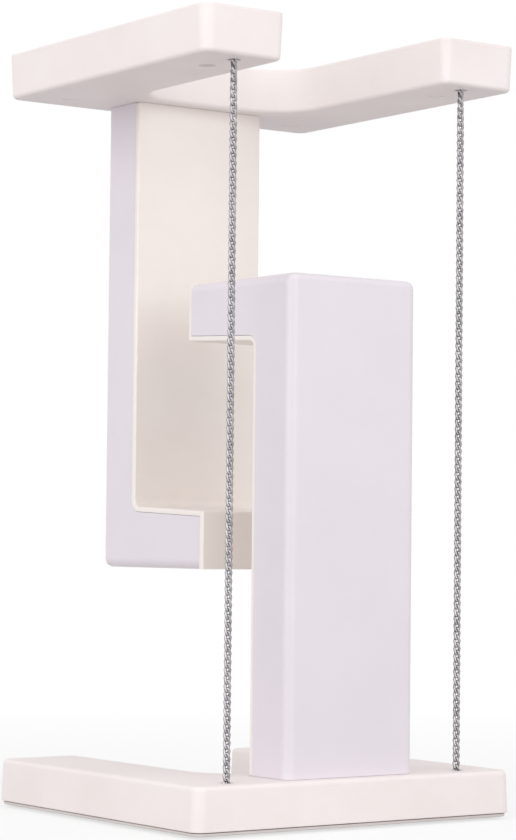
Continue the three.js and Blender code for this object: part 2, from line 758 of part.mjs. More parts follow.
// A closed loop of wire through the given points, mitred at each, with an edge of its section inwards
const wireLoop = (points, wireRadius) => {
  const positions = [];
  const indices = [];
  const count = points.length;
  points.forEach((point, i) => {
    const before = point.clone().sub(points[(i + count - 1) % count]).normalize();
    const after = points[(i + 1) % count].clone().sub(point).normalize();
    const tangent = before.clone().add(after).normalize();
    const inward = after.clone().sub(before).normalize();
    const across = new THREE.Vector3().crossVectors(tangent, inward);
    const mitre = 1 / tangent.dot(before);
    for (let j = 0; j < wireSides; j++) {
      const angle = (j / wireSides) * 2 * Math.PI;
      const corner = point.clone()
        .addScaledVector(inward, wireRadius * mitre * Math.cos(angle))
        .addScaledVector(across, wireRadius * Math.sin(angle));
      positions.push(corner.x, corner.y, corner.z);
    }
  });
  for (let i = 0; i < count; i++) {
    for (let j = 0; j < wireSides; j++) {
      const a = i * wireSides + j;
      const b = i * wireSides + ((j + 1) % wireSides);
      const c = ((i + 1) % count) * wireSides + j;
      const d = ((i + 1) % count) * wireSides + ((j + 1) % wireSides);
      indices.push(a, b, d, a, d, c);
    }
  }
  const geometry = new THREE.BufferGeometry();
  geometry.setAttribute('position', new THREE.Float32BufferAttribute(positions, 3));
  geometry.setIndex(indices);
  return geometry;
};

// An oval standing along Z with flat ends at plus and minus half its length
const ovalPoints = (halfLength, halfBreadth, steps, turnAt) => {
  const reach = halfLength / Math.cos(Math.PI / steps);
  const points = [];
  for (let i = 0; i < steps; i++) {
    const t = ((i + 0.5) / steps) * 2 * Math.PI;
    const z = reach * Math.cos(t);
    const side = halfBreadth * Math.sin(t);
    const turn = turnAt(z / halfLength);
    points.push(new THREE.Vector3(side * Math.cos(turn), side * Math.sin(turn), z));
  }
  return points;
};

// A whole chain between two cross pins that lie along X, one straight above the other
const linkHalfBreadth = (linkWidth - linkWireRadius) / 2;
const ringHalfLength = ringRadius * Math.cos(Math.PI / ringSteps);
const ringInside = ringHalfLength - ringWireRadius;
const quarterTurn = Math.PI / 2;

const makeChain = (x, y, lowPin, highPin) => {
  const ring = (z) => {
    const points = ovalPoints(ringHalfLength, ringRadius, ringSteps, () => quarterTurn);
    return toSolid(wireLoop(points, ringWireRadius).translate(x, y, z));
  };
  const lowRing = lowPin - pinRadius - seamGap + ringInside;
  const highRing = highPin + pinRadius + seamGap - ringInside;
  const hook = ringWireRadius + linkWireRadius - ringBed;
  const first = lowRing + ringHalfLength - hook;
  const last = highRing - ringHalfLength + hook;
  const overlap = 2 * linkWireRadius - linkBed;
  const links = Math.round((last - first - overlap) / linkPitchTarget);
  const pitch = (last - first - overlap) / links;
  const halfLength = (pitch + overlap) / 2;
  const solids = [ring(lowRing)];
  for (let i = 0; i < links; i++) {
    const middle = quarterTurn / 2 + quarterTurn * (i / (links - 1));
    const points = ovalPoints(halfLength, linkHalfBreadth, linkSteps,
      (share) => middle + (quarterTurn / 2) * share);
    solids.push(toSolid(wireLoop(points, linkWireRadius).translate(x, y, first + halfLength + i * pitch)));
  }
  solids.push(ring(highRing));
  return join(solids);
};

const lowPinZ = footProud + pinZ;
const highPinZ = topFace - pinZ;
const upperMiddlePinZ = baseTop + seamGap + lampPinZ;
const lowerMiddlePinZ = topUnderside - seamGap - lampPinZ;

addSolid(root, 'left_chain', makeChain(-chainX, -chainY, lowPinZ, highPinZ), finish.steel());
addSolid(root, 'right_chain', makeChain(chainX, -chainY, lowPinZ, highPinZ), finish.steel());
addSolid(root, 'middle_chain', makeChain(0, middleChainY, lowerMiddlePinZ, upperMiddlePinZ), finish.steel());

export default root;
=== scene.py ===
# Levitating lamp: smooth shells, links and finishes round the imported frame

import bmesh
import bpy
import math
from mathutils import Matrix, Vector


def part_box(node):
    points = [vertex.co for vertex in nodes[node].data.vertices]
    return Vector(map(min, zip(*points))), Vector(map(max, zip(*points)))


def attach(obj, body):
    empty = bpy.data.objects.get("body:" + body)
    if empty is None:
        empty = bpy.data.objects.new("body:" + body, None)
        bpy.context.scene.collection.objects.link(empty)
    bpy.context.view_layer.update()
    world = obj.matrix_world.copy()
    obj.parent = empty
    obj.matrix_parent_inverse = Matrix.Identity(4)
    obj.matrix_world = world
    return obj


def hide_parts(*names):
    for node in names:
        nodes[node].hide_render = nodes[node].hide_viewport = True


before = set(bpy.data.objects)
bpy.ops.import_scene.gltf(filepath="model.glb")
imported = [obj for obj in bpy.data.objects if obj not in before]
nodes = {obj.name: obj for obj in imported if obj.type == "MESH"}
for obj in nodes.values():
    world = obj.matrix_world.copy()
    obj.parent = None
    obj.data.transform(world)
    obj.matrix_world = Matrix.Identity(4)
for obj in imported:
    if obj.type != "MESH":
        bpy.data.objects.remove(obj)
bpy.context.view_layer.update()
bpy.ops.object.select_all(action="DESELECT")
mm = 0.001

# Millimetres: what counts as equal, how far a cutting tool runs past a face, how far joined pieces overlap
touch = 0.02
past = 1
overlap = 0.3

# The share of a normal along an axis that makes a face look that way
facing = 0.9

# Edges turned by more degrees than this stay sharp
crease = 32

# Sides of turned solids: hidden holes and bosses, plain ones, ones that show, the finest rims
facets = {"hidden": 24, "plain": 32, "shown": 40, "fine": 48}

# Places that the frame gives; every piece is modelled in millimetres on one of these stands
stands = {
    "part": {"turn": 0.0, "y": 0.0, "z": 0.0},
    "base": {"turn": 0.0, "y": 0.0, "z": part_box("base_cover")[0].z},
    "top": {"turn": math.pi, "y": 0.0, "z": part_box("top_lid")[1].z},
    "lower": {"turn": 0.0, "y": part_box("lower_lamp_shade")[0].y, "z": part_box("lower_lamp_shade")[0].z},
    "upper": {"turn": math.pi, "y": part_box("upper_lamp_shade")[1].y, "z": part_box("upper_lamp_shade")[1].z},
}


# Camera at the photograph's viewpoint
camera = {"x": -476.914, "y": -673.072, "z": 85.018, "yaw": -35.388, "pitch": 2.492, "roll": 0.573,
          "lens": 114.24, "sensor": 36}


def makeCamera():
    data = bpy.data.cameras.new("camera")
    data.lens = camera["lens"]
    data.sensor_width = camera["sensor"]
    eye = bpy.data.objects.new("camera", data)
    bpy.context.scene.collection.objects.link(eye)
    turn = Matrix.Rotation(math.radians(camera["yaw"]), 4, "Z")
    tip = Matrix.Rotation(math.radians(90 + camera["pitch"]), 4, "X")
    lean = Matrix.Rotation(math.radians(camera["roll"]), 4, "Z")
    place = Matrix.Translation((camera["x"] * mm, camera["y"] * mm, camera["z"] * mm))
    eye.matrix_world = place @ turn @ tip @ lean
    bpy.context.scene.camera = eye


makeCamera()


# Modelling helpers
def only(piece):
    bpy.ops.object.select_all(action="DESELECT")
    piece.select_set(True)
    bpy.context.view_layer.objects.active = piece


def applyPlace():
    bpy.ops.object.transform_apply(location=True, rotation=True, scale=True)


def named(name):
    piece = bpy.context.active_object
    piece.name = name
    piece.data.name = name
    applyPlace()
    return piece


def edit(piece):
    only(piece)
    bpy.ops.object.mode_set(mode="EDIT")


def leave():
    bpy.ops.mesh.select_all(action="SELECT")
    bpy.ops.mesh.normals_make_consistent(inside=False)
    bpy.ops.object.mode_set(mode="OBJECT")


def pick(kind, test):
    bpy.ops.mesh.select_mode(type=kind)
    bpy.ops.mesh.select_all(action="DESELECT")
    data = bpy.context.edit_object.data
    mesh = bmesh.from_edit_mesh(data)
    mesh.normal_update()
    found = {"VERT": mesh.verts, "EDGE": mesh.edges, "FACE": mesh.faces}[kind]
    for item in found:
        if test(item):
            item.select_set(True)
    mesh.select_flush_mode()
    bmesh.update_edit_mesh(data)


def near(value, wanted):
    return abs(value - wanted) < touch


def liesAt(item, axis, wanted):
    return all(near(vert.co[axis], wanted) for vert in item.verts)


def outward(item, axis, size):
    return all(near(abs(vert.co[axis]), size) for vert in item.verts)


def cube(name, low, high):
    bpy.ops.object.select_all(action="DESELECT")
    middle = [(a + b) / 2 for a, b in zip(low, high)]
    bpy.ops.mesh.primitive_cube_add(size=1, location=middle)
    bpy.context.active_object.scale = [b - a for a, b in zip(low, high)]
    return named(name)


# A turned solid: a disc drawn up through rings of radius and height
def turnUp(name, rings, sides=facets["fine"], x=0, y=0):
    bpy.ops.object.select_all(action="DESELECT")
    radius, height = rings[0]
    bpy.ops.mesh.primitive_circle_add(vertices=sides, radius=radius, fill_type="NGON",
                                      location=(x, y, height))
    piece = named(name)
    edit(piece)
    bpy.ops.mesh.select_all(action="SELECT")
    for wider, higher in rings[1:]:
        raiseFaces(higher - height)
        share = wider / radius
        bpy.ops.transform.resize(value=(share, share, 1), center_override=(x, y, higher))
        radius, height = wider, higher
    leave()
    return piece


def post(radius, low, high, x, y, sides):
    return turnUp("post", [(radius, low), (radius, high)], sides, x, y)


# The same post at each of the spots
def postsAt(spots, radius, low, high, sides=facets["hidden"]):
    return [post(radius, low, high, x, y, sides) for x, y in spots]


def gather(pieces, name):
    bpy.ops.object.select_all(action="DESELECT")
    for piece in pieces:
        piece.select_set(True)
    bpy.context.view_layer.objects.active = pieces[0]
    if len(pieces) > 1:
        bpy.ops.object.join()
    return named(name)


def modify(piece, kind, **settings):
    change = piece.modifiers.new(kind.lower(), kind)
    for key, value in settings.items():
        setattr(change, key, value)
    bpy.ops.object.modifier_apply(modifier=change.name)


def merge(piece, tools, operation):
    tool = gather(tools, "tool")
    only(piece)
    modify(piece, "BOOLEAN", operation=operation, solver="EXACT", object=tool)
    bpy.data.objects.remove(tool)


def grow(inset, rise):
    bpy.ops.mesh.inset(thickness=inset, depth=rise, use_boundary=True, use_even_offset=True)


def extrude(x, y, z):
    bpy.ops.mesh.extrude_region_move(TRANSFORM_OT_translate={"value": (x, y, z)})


def raiseFaces(rise):
    extrude(0, 0, rise)


def soften(radius, steps):
    bpy.ops.mesh.bevel(offset=radius, segments=steps, affect="EDGES")


def roundOver(radius, steps):
    for step in range(steps):
        start = math.pi / 2 * step / steps
        stop = math.pi / 2 * (step + 1) / steps
        grow(radius * (math.cos(start) - math.cos(stop)), radius * (math.sin(stop) - math.sin(start)))


def smooth(piece):
    only(piece)
    bpy.ops.object.shade_smooth_by_angle(angle=math.radians(crease))
    modify(piece, "WEIGHTED_NORMAL", keep_sharp=True)


def settle(piece, stand, spot=(0, 0, 0), lie=False):
    only(piece)
    place = stands[stand]
    turn = Matrix.Rotation(place["turn"], 4, "X")
    across = Matrix.Rotation(-math.pi / 2 if lie else 0.0, 4, "X")
    local = Matrix.Translation([value * mm for value in spot]) @ across @ Matrix.Scale(mm, 4)
    piece.matrix_world = Matrix.Translation((0, place["y"], place["z"])) @ turn @ local
    applyPlace()


def copyOf(piece, name):
    only(piece)
    bpy.ops.object.duplicate(linked=False)
    return named(name)


# Materials; a colour is written in the levels of a screen, and the shader takes linear shares
def colour(red, green, blue):
    levels = []
    for value in (red, green, blue):
        share = value / 255
        levels.append(share / 12.92 if share <= 0.04045 else ((share + 0.055) / 1.055) ** 2.4)
    return (*levels, 1.0)


def addNode(tree, kind, values=None, **settings):
    node = tree.nodes.new(kind)
    for key, value in settings.items():
        setattr(node, key, value)
    for key, value in (values or {}).items():
        node.inputs[key].default_value = value
    return node


def noise(tree, place, scale, detail):
    node = addNode(tree, "ShaderNodeTexNoise", {"Scale": scale, "Detail": detail, "Roughness": 0.55})
    tree.links.new(place, node.inputs["Vector"])
    return node.outputs["Fac"]


def between(tree, fac, low, high, start=0.3, stop=0.7):
    values = {"From Min": start, "From Max": stop, "To Min": low, "To Max": high}
    node = addNode(tree, "ShaderNodeMapRange", values)
    tree.links.new(fac, node.inputs["Value"])
    return node.outputs["Result"]


# A Mix node's colour sockets share their names with its number sockets, so they go by their places
mixSockets = {"first": 6, "second": 7, "result": 2}


def blendColours(tree, fac, first, second):
    values = {mixSockets["first"]: first, mixSockets["second"]: second}
    node = addNode(tree, "ShaderNodeMix", values, data_type="RGBA")
    tree.links.new(fac, node.inputs["Factor"])
    return node.outputs[mixSockets["result"]]


def bumped(tree, height, depth):
    node = addNode(tree, "ShaderNodeBump", {"Strength": 1.0, "Distance": depth})
    tree.links.new(height, node.inputs["Height"])
    return node.outputs["Normal"]


def startLook(name):
    material = bpy.data.materials.new(name)
    material.use_nodes = True
    tree = material.node_tree
    place = addNode(tree, "ShaderNodeTexCoord").outputs["Object"]
    return material, tree, tree.nodes["Principled BSDF"], place


# Joins one pattern each to the colour, the roughness and the fine relief
def dress(tree, shader, tint, rough, relief):
    tree.links.new(blendColours(tree, *tint), shader.inputs["Base Color"])
    tree.links.new(between(tree, *rough), shader.inputs["Roughness"])
    tree.links.new(bumped(tree, *relief), shader.inputs["Normal"])


# Each plastic's two tints, its range of gloss, its noise in waves a metre and its grain's depth in metres
finishes = {
    "plate": {"light": (247, 240, 238), "dark": (243, 235, 233), "rough": (0.5, 0.6),
              "fleck": 520, "grain": 2300, "depth": 0.000003, "coat": 0.0},
    "cover": {"light": (232, 226, 223), "dark": (224, 217, 214), "rough": (0.5, 0.62),
              "fleck": 520, "grain": 1900, "depth": 0.000006, "coat": 0.0},
    "panel": {"light": (248, 241, 236), "dark": (244, 236, 231), "rough": (0.32, 0.42),
              "fleck": 520, "grain": 2500, "depth": 0.000003, "coat": 0.3},
    # The darker grey given to one plug is painted shade: it stands in for a shadowed recess over that screw
    "shadedPlug": {"light": (222, 215, 212), "dark": (214, 207, 204), "rough": (0.5, 0.62),
             "fleck": 520, "grain": 1900, "depth": 0.000005, "coat": 0.0},
    "shade": {"light": (232, 225, 232), "dark": (229, 222, 230), "rough": (0.34, 0.4),
              "fleck": 60, "grain": 700, "depth": 0.000003, "coat": 0.28},
    "rubber": {"light": (146, 146, 148), "dark": (126, 126, 129), "rough": (0.72, 0.88),
               "fleck": 520, "grain": 2600, "depth": 0.000012, "coat": 0.0},
    "black": {"light": (44, 44, 47), "dark": (34, 34, 36), "rough": (0.45, 0.6),
              "fleck": 520, "grain": 2600, "depth": 0.000006, "coat": 0.0},
    "lead": {"light": (224, 223, 221), "dark": (210, 208, 205), "rough": (0.48, 0.6),
             "fleck": 520, "grain": 2600, "depth": 0.000005, "coat": 0.0},
}
moulding = {"cloud": 46.0, "cloudDetail": 4.0, "fineDetail": 2.0, "ior": 1.47, "coatRough": 0.24}


# Moulded plastic and rubber: faint clouding, uneven gloss, and the fine grain of the mould
def mould(name):
    setting = finishes[name]
    material, tree, shader, place = startLook(name + "Finish")
    cloud = between(tree, noise(tree, place, moulding["cloud"], moulding["cloudDetail"]), 0.0, 1.0)
    fleck = noise(tree, place, setting["fleck"], moulding["fineDetail"])
    grain = noise(tree, place, setting["grain"], moulding["fineDetail"])
    dress(tree, shader, (cloud, colour(*setting["light"]), colour(*setting["dark"])),
          (fleck, *setting["rough"]), (grain, setting["depth"]))
    shader.inputs["IOR"].default_value = moulding["ior"]
    shader.inputs["Coat Weight"].default_value = setting["coat"]
    shader.inputs["Coat Roughness"].default_value = moulding["coatRough"]
    return material


metals = {
    "chain": {"light": (190, 187, 189), "dark": (150, 148, 152), "rough": (0.2, 0.32), "scratch": 2600},
    "pin": {"light": (214, 215, 218), "dark": (190, 191, 195), "rough": (0.26, 0.4), "scratch": 1400},
    "screw": {"light": (150, 151, 156), "dark": (118, 119, 124), "rough": (0.34, 0.52), "scratch": 1100},
}
drawing = {"cloud": 420.0, "cloudDetail": 3.0, "scratchDetail": 4.0, "stretch": 0.22, "depth": 0.000004}


# Metal: drawn or plated, with a fine uneven gloss and small scratches
def metal(name):
    setting = metals[name]
    material, tree, shader, place = startLook(name + "Metal")
    stretch = addNode(tree, "ShaderNodeMapping", {"Scale": (1.0, 1.0, drawing["stretch"])})
    tree.links.new(place, stretch.inputs["Vector"])
    cloud = between(tree, noise(tree, place, drawing["cloud"], drawing["cloudDetail"]), 0.0, 1.0)
    scratch = noise(tree, stretch.outputs["Vector"], setting["scratch"], drawing["scratchDetail"])
    dress(tree, shader, (cloud, colour(*setting["light"]), colour(*setting["dark"])),
          (scratch, *setting["rough"]), (scratch, drawing["depth"]))
    shader.inputs["Metallic"].default_value = 1.0
    return material


boards = {
    "circuit": {"mask": (46, 104, 72), "track": (74, 138, 98), "cell": 900, "line": 0.12},
    "led": {"mask": (240, 240, 236), "track": (246, 236, 176), "cell": 260, "line": 0.05},
}
printing = {"fleck": 900.0, "fleckDetail": 3.0, "rough": (0.3, 0.45), "depth": 0.00003}


# Boards: solder mask with raised copper tracks under it
def board(name):
    setting = boards[name]
    material, tree, shader, place = startLook(name + "Board")
    cells = addNode(tree, "ShaderNodeTexVoronoi", {"Scale": setting["cell"]}, feature="DISTANCE_TO_EDGE")
    tree.links.new(place, cells.inputs["Vector"])
    line = between(tree, cells.outputs["Distance"], 1.0, 0.0, 0.0, setting["line"])
    fleck = noise(tree, place, printing["fleck"], printing["fleckDetail"])
    dress(tree, shader, (line, colour(*setting["mask"]), colour(*setting["track"])),
          (fleck, *printing["rough"]), (line, printing["depth"]))
    return material


looks = {name: mould(name) for name in finishes}
looks.update({name: metal(name) for name in metals})
looks.update({name: board(name) for name in boards})
print("materials made:", len(looks))


def finish(piece, look, body, replaced):
    piece.data.materials.clear()
    piece.data.materials.append(looks[look])
    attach(piece, body)
    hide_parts(replaced)


# Plates: U-shaped shells and the covers that close them, modelled cover down
plate = {"width": 116, "depth": 111, "thickness": 14, "web": 29.5, "arm": 28.5, "notch": 16, "notchSteps": 14,
         "corner": 4, "tip": 3, "cornerSteps": 7, "edge": 1.4, "edgeSteps": 6, "draft": 0.5, "straight": 0.5,
         "wall": 2, "low": 1.2, "seamSteps": 2, "coverLip": 0.9, "cover": 2.4, "coverInset": 2.3,
         "coverRound": 0.4, "coverSteps": 4, "chainSide": 15.7, "chainBack": 8, "screwSide": 15,
         "screwTip": 20.5, "screwWeb": 14, "boss": 3.6, "hole": 1.9, "holeDeep": 4, "rimWide": 0.35,
         "rimDeep": 0.25, "rimOver": 0.1}
chainX = plate["width"] / 2 - plate["chainSide"]
chainY = plate["depth"] / 2 - plate["chainBack"]
screwX = plate["width"] / 2 - plate["screwSide"]
screwTipY = plate["depth"] / 2 - plate["screwTip"]
screwWebY = -plate["depth"] / 2 + plate["screwWeb"]
screwSpots = [(-screwX, screwTipY), (screwX, screwTipY), (-screwX, screwWebY), (screwX, screwWebY)]


def plateOutline(name, inset, height):
    halfWidth = plate["width"] / 2 - inset
    halfDepth = plate["depth"] / 2 - inset
    halfNotch = plate["width"] / 2 - plate["arm"] + inset
    notchEnd = -plate["depth"] / 2 + plate["web"] - inset
    bpy.ops.object.select_all(action="DESELECT")
    bpy.ops.mesh.primitive_plane_add(size=2, location=(0, 0, height))
    bpy.context.active_object.scale = (halfWidth, halfDepth, 1)
    piece = named(name)
    edit(piece)
    across, along = (1, 0, 0), (0, 1, 0)
    cuts = ((-halfNotch, 0, 0), across), ((halfNotch, 0, 0), across), ((0, notchEnd, 0), along)
    for place, normal in cuts:
        bpy.ops.mesh.select_all(action="SELECT")
        bpy.ops.mesh.bisect(plane_co=place, plane_no=normal)

    def inNotch(face):
        middle = face.calc_center_median()
        return near(middle.x, 0) and middle.y > notchEnd

    pick("FACE", inNotch)
    bpy.ops.mesh.delete(type="FACE")
    bpy.ops.mesh.select_all(action="SELECT")
    bpy.ops.mesh.dissolve_faces()

    def spare(vert):
        onFront = near(abs(vert.co.x), halfNotch) and near(vert.co.y, -halfDepth)
        return onFront or (near(abs(vert.co.x), halfWidth) and near(vert.co.y, notchEnd))

    pick("VERT", spare)
    bpy.ops.mesh.dissolve_verts()
    corners = (
        (halfNotch, notchEnd, plate["notch"] + inset, plate["notchSteps"]),
        (halfNotch, halfDepth, plate["tip"] - inset, plate["cornerSteps"]),
        (halfWidth, halfDepth, plate["corner"] - inset, plate["cornerSteps"]),
        (halfWidth, -halfDepth, plate["corner"] - inset, plate["cornerSteps"]),
    )
    for x, y, radius, steps in corners:
        pick("VERT", lambda vert: near(abs(vert.co.x), x) and near(vert.co.y, y))
        bpy.ops.mesh.bevel(offset=max(radius, plate["coverRound"]), segments=steps, affect="VERTICES")
    bpy.ops.mesh.select_mode(type="FACE")
    bpy.ops.mesh.select_all(action="SELECT")
    return piece


# Fixings: two screws and a lead pass from the plate into the lamp's foot, and slotted ribs hold the pins
fixing = {"setback": 9, "screwX": 14, "screwHole": 1.35, "leadHole": 2.8, "boss": 3, "bossHigh": 9,
          "flange": 2.6, "flangeGap": 0.3, "ribGap": 2.6, "rib": 1.2, "ribWide": 4, "ribDrop": 1.5,
          "slot": 0.8}


def pinHeight(pin):
    low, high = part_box(pin)
    return (low.z + high.z) / 2 / mm


def pinOn(pin, stand):
    return abs(pinHeight(pin) - stands[stand]["z"] / mm)


def block(name, x, y, halfX, halfY, ends):
    low, high = sorted(ends)
    return cube(name, (x - halfX, y - halfY, low), (x + halfX, y + halfY, high))


def addPinRibs(piece, spots, wall, pin):
    away = math.copysign(1, pin - wall)
    far = pin + away * fixing["ribDrop"]
    mouth = (pin - away * fixing["slot"], far + away * past)
    ribs, slots = [], []
    for x, y in spots:
        for side in (-1, 1):
            middle = x + side * (fixing["ribGap"] + fixing["rib"] / 2)
            ribs.append(block("rib", middle, y, fixing["rib"] / 2, fixing["ribWide"] / 2, (wall, far)))
            slots.append(block("slot", middle, y, fixing["rib"], fixing["slot"], mouth))
    merge(piece, ribs, "UNION")
    merge(piece, slots, "DIFFERENCE")


def footScrews(y):
    return [(side * fixing["screwX"], y) for side in (-1, 1)]


def footHoles(y, low, high, leadHigh):
    holes = postsAt(footScrews(y), fixing["screwHole"], low, high)
    return holes + [post(fixing["leadHole"], low, leadHigh, 0, y, facets["plain"])]


def softenAt(height, radius, steps):
    pick("EDGE", lambda edge: liesAt(edge, 2, height))
    soften(radius, steps)


def plateShell(name, bossLow, seamRound, pinY, pin):
    thick, low = plate["thickness"], plate["low"]
    ceiling = thick - plate["wall"]
    piece = plateOutline(name, 0, low)
    raiseFaces(plate["straight"])
    grow(plate["draft"], thick - plate["edge"] - low - plate["straight"])
    roundOver(plate["edge"], plate["edgeSteps"])
    softenAt(low, seamRound, plate["seamSteps"])
    leave()
    inside = plateOutline("inside", plate["wall"], low - past)
    raiseFaces(plate["straight"])
    grow(plate["draft"], ceiling - low + past - plate["straight"])
    leave()
    merge(piece, [inside], "DIFFERENCE")
    merge(piece, postsAt(screwSpots, plate["boss"], bossLow, ceiling + overlap), "UNION")
    addPinRibs(piece, [(-chainX, pinY), (chainX, pinY)], ceiling + overlap, pin)
    foot = stands["lower"]["y"] / mm + fixing["setback"]
    merge(piece, footHoles(foot, ceiling - past, thick + past, thick + past), "DIFFERENCE")
    return piece


def chainHoles(y):
    radius, thick = plate["hole"], plate["thickness"]
    rings = [(radius, thick - plate["holeDeep"]), (radius, thick - plate["rimDeep"]),
             (radius + plate["rimWide"], thick + plate["rimOver"])]
    return [turnUp("hole", rings, facets["shown"], side * chainX, y) for side in (-1, 1)]


def plateCover(name, lipInset, lipHigh):
    piece = plateOutline(name, lipInset, 0)
    raiseFaces(lipHigh)
    grow(plate["coverInset"] - lipInset, 0)
    raiseFaces(plate["cover"] - lipHigh)
    softenAt(0, plate["coverRound"], plate["coverSteps"])
    leave()
    return piece


# Base plate; the foot's profile is radius and height over the table, the screws' are radius, low and high
base = {"seamRound": 0.22, "lipInset": 0.8, "padRadius": 4.2, "padHigh": 3.2, "padGap": 0.3,
        "screwHole": 1.35, "screwEnd": 11, "screwHead": (2.5, 0, 2.2), "screwShank": (1.5, 2, 4),
        "footRadius": 4.6, "footGap": 0.15, "footRecess": 0.5, "footProud": 0.8,
        "footProfile": ((2.7, 0.12), (2.85, 0), (4.2, 0), (4.39, 0.07), (4.53, 0.21), (4.6, 0.4))}

# Ports in the right arm's rear end; the button's stem is radius and place, its cap radius and drop
port = {"z": 7.6, "deep": 4, "buttonX": 48.45, "buttonRadius": 3.0, "buttonProud": 0.8, "buttonGap": 0.3,
        "rimDeep": 0.75, "socketX": 39.05, "socketWidth": 8.9, "socketHeight": 3.2, "socketGap": 0.6,
        "socketSteps": 8, "socketRim": 0.1, "socketWall": 0.25, "socketBack": 0.5, "tongueEdge": 0.16,
        "tongueSteps": 3,
        "stem": ((1.1, 50.5), (1.1, 51.9), (3.8, 51.9), (3.8, 52.7), (3.0, 52.7)),
        "cap": ((3.0, 0.35), (2.94, 0.16), (2.8, 0.04), (2.62, 0), (2.45, 0.03), (1.6, 0.16), (0.6, 0.21))}


def slotTool(width, height, x, z, low, high):
    tool = cube("slot", (x - width / 2, low, z - height / 2), (x + width / 2, high, z + height / 2))
    edit(tool)
    pick("EDGE", lambda edge: not near(edge.verts[0].co.y, edge.verts[1].co.y))
    soften(height / 2 - touch, port["socketSteps"])
    leave()
    return tool


# The hole that the button stands in, and the socket's hole
def portTools():
    rear = plate["depth"] / 2
    wide = port["buttonRadius"] + port["buttonGap"]
    well = turnUp("well", [(wide, rear - port["deep"]), (wide, rear - port["rimDeep"]),
                           (wide + port["buttonGap"], rear + plate["rimOver"])])
    only(well)
    lying = Matrix.Rotation(-math.pi / 2, 4, "X")
    well.matrix_world = Matrix.Translation((port["buttonX"], 0, port["z"])) @ lying
    applyPlace()
    width, height = port["socketWidth"] + port["socketGap"], port["socketHeight"] + port["socketGap"]
    return [well, slotTool(width, height, port["socketX"], port["z"], rear - port["deep"], rear + past)]


def makeBase():
    bossLow = base["padHigh"] + base["padGap"]
    shell = plateShell("baseShell", bossLow, base["seamRound"], -chainY, pinOn("left_base_pin", "base"))
    tools = chainHoles(-chainY) + portTools()
    tools += postsAt(screwSpots, base["screwHole"], plate["cover"] + base["padGap"], base["screwEnd"])
    merge(shell, tools, "DIFFERENCE")
    smooth(shell)
    settle(shell, "base")
    finish(shell, "plate", "base", "base_shell")

    cover = plateCover("baseCover", base["lipInset"], plate["coverLip"])
    pads = postsAt(screwSpots, base["padRadius"], plate["coverLip"], base["padHigh"], facets["shown"])
    merge(cover, pads, "UNION")
    well = (base["footRadius"] + base["footGap"], -past, base["footRecess"])
    for radius, low, high in (well, base["screwHead"], base["screwShank"]):
        merge(cover, postsAt(screwSpots, radius, low, high, facets["fine"]), "DIFFERENCE")
    smooth(cover)
    settle(cover, "base")
    finish(cover, "cover", "base", "base_cover")

    rings = [(radius, high - base["footProud"]) for radius, high in base["footProfile"]]
    first = turnUp("foot", rings + [(base["footRadius"], base["footRecess"] - base["footGap"])])
    smooth(first)
    for number, (x, y) in enumerate(screwSpots, 1):
        foot = copyOf(first, f"baseFoot{number}")
        settle(foot, "base", (x, y, 0))
        finish(foot, "rubber", "base", f"base_foot_{number}")
    bpy.data.objects.remove(first)


def makePorts():
    capEnd = plate["depth"] / 2 + port["buttonProud"]
    cap = [(radius, capEnd - drop) for radius, drop in port["cap"]]
    button = turnUp("powerButton", [*port["stem"], *cap])
    smooth(button)
    settle(button, "base", (port["buttonX"], 0, port["z"]), lie=True)
    finish(button, "panel", "power_button", "power_button")

    low, high = [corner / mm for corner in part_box("charging_socket")]
    x, z = (high.x + low.x) / 2, (high.z + low.z) / 2
    socket = slotTool(high.x - low.x, high.z - low.z, x, z, low.y, high.y)
    socket.name = "chargingSocket"
    edit(socket)
    pick("FACE", lambda face: face.normal.y > facing)
    bpy.ops.mesh.inset(thickness=port["socketRim"], depth=0)
    bpy.ops.mesh.inset(thickness=port["socketWall"], depth=0)
    extrude(0, -(high.y - low.y) + port["socketBack"], 0)
    leave()
    smooth(socket)
    settle(socket, "part")
    finish(socket, "pin", "base", "charging_socket")

    low, high = [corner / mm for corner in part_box("socket_tongue")]
    tongue = cube("socketTongue", low, high)
    edit(tongue)
    pick("EDGE", lambda edge: any(near(vert.co.y, high.y) for vert in edge.verts))
    soften(port["tongueEdge"], port["tongueSteps"])
    leave()
    smooth(tongue)
    settle(tongue, "part")
    finish(tongue, "black", "base", "socket_tongue")


makeBase()
makePorts()
print("base plate made")


# Top plate: the base's shell turned over; the plugs over its screws are radius and drop below their face
top = {"seamRound": 0.03, "seamGap": 0.01, "bossLow": 6, "bossGap": 0.3, "seat": 8, "screwHole": 1.5,
       "lidBoss": 3.2, "lidPilot": 1.35, "plugRadius": 2.4, "plugGap": 0.08, "plugSunk": 0.12,
       "rimDeep": 0.1, "rimWide": 0.15, "rimOver": 0.05,
       "plugProfile": ((2.4, 1.3), (2.4, 0.2), (2.34, 0.06), (2.2, 0), (1.9, 0), (1.78, 0.08))}


